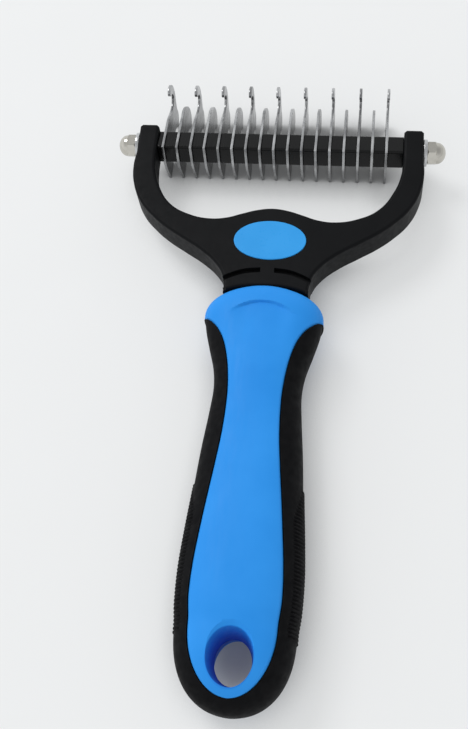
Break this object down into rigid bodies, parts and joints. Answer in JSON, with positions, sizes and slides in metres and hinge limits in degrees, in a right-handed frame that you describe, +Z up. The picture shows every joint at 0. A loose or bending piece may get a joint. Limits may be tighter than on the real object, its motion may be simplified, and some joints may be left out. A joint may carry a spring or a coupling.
{
  "type": "dematting comb",
  "caption": "Double-sided dematting comb: stamped steel blades on a shaft in a black yoke, with a soft-grip handle and a hanging hole.",
  "frame": {"origin": "centre of the object's box on the surface that it lies on", "axes": "+X across the head, +Y from the handle's end to the head, +Z up from the surface, out of the front face"},
  "size_m": [0.1012, 0.1897, 0.0255],
  "materials": {
    "yoke_plastic": "satin moulded black",
    "oval_plastic": "smooth blue, plain",
    "handle_plastic": "satin moulded blue",
    "grip_rubber": "matt black, finely ribbed",
    "blade_steel": "stamped and ground",
    "shaft_steel": "turned",
    "spacer_plastic": "glossy black",
    "washer_steel": "plated",
    "nut_chrome": "polished"
  },
  "bodies": {
    "body": {"yoke_frame": "yoke_plastic", "oval_inlay_front": "oval_plastic", "oval_inlay_back": "oval_plastic", "handle_shell_front": "handle_plastic", "handle_shell_back": "handle_plastic", "rubber_grip": "grip_rubber"},
    "blade_set": {"blade_shaft": "shaft_steel", "blade_long_01": "blade_steel", "blade_long_02": "blade_steel", "blade_long_03": "blade_steel", "blade_long_04": "blade_steel", "blade_long_05": "blade_steel", "blade_long_06": "blade_steel", "blade_long_07": "blade_steel", "blade_long_08": "blade_steel", "blade_long_09": "blade_steel", "blade_short_01": "blade_steel", "blade_short_02": "blade_steel", "blade_short_03": "blade_steel", "blade_short_04": "blade_steel", "blade_short_05": "blade_steel", "blade_short_06": "blade_steel", "blade_short_07": "blade_steel", "blade_short_08": "blade_steel", "spacer_01": "spacer_plastic", "spacer_02": "spacer_plastic", "spacer_03": "spacer_plastic", "spacer_04": "spacer_plastic", "spacer_05": "spacer_plastic", "spacer_06": "spacer_plastic", "spacer_07": "spacer_plastic", "spacer_08": "spacer_plastic", "spacer_09": "spacer_plastic", "spacer_10": "spacer_plastic", "spacer_11": "spacer_plastic", "spacer_12": "spacer_plastic", "spacer_13": "spacer_plastic", "spacer_14": "spacer_plastic", "spacer_15": "spacer_plastic", "spacer_16": "spacer_plastic", "end_spacer_left": "spacer_plastic", "end_spacer_right": "spacer_plastic"},
    "washer_left": {"washer_left": "washer_steel"},
    "washer_right": {"washer_right": "washer_steel"},
    "cap_nut_left": {"cap_nut_left": "nut_chrome"},
    "cap_nut_right": {"cap_nut_right": "nut_chrome"}
  },
  "joints": [
    {"name": "blade_set_turn", "type": "hinge", "parent": "body", "child": "blade_set", "pos_m": [0, 0.07375, 0.0128], "axis": [1, 0, 0], "range_deg": [-35, 130]},
    {"name": "washer_left_slide", "type": "slide", "parent": "body", "child": "washer_left", "axis": [-1, 0, 0], "range_m": [0, 0.0035]},
    {"name": "washer_right_slide", "type": "slide", "parent": "body", "child": "washer_right", "axis": [1, 0, 0], "range_m": [0, 0.0035]},
    {"name": "cap_nut_left_turn", "type": "hinge", "parent": "washer_left", "child": "cap_nut_left", "pos_m": [-0.0452, 0.07375, 0.0128], "axis": [-1, 0, 0], "range_deg": [0, 1805]},
    {"name": "cap_nut_right_turn", "type": "hinge", "parent": "washer_right", "child": "cap_nut_right", "pos_m": [0.0452, 0.07375, 0.0128], "axis": [1, 0, 0], "range_deg": [0, 1805]}
  ],
  "couplings": [
    {"joint": "cap_nut_left_turn", "follows": "washer_left_slide", "rad_per_m": 8976},
    {"joint": "cap_nut_right_turn", "follows": "washer_right_slide", "rad_per_m": 8976}
  ]
}
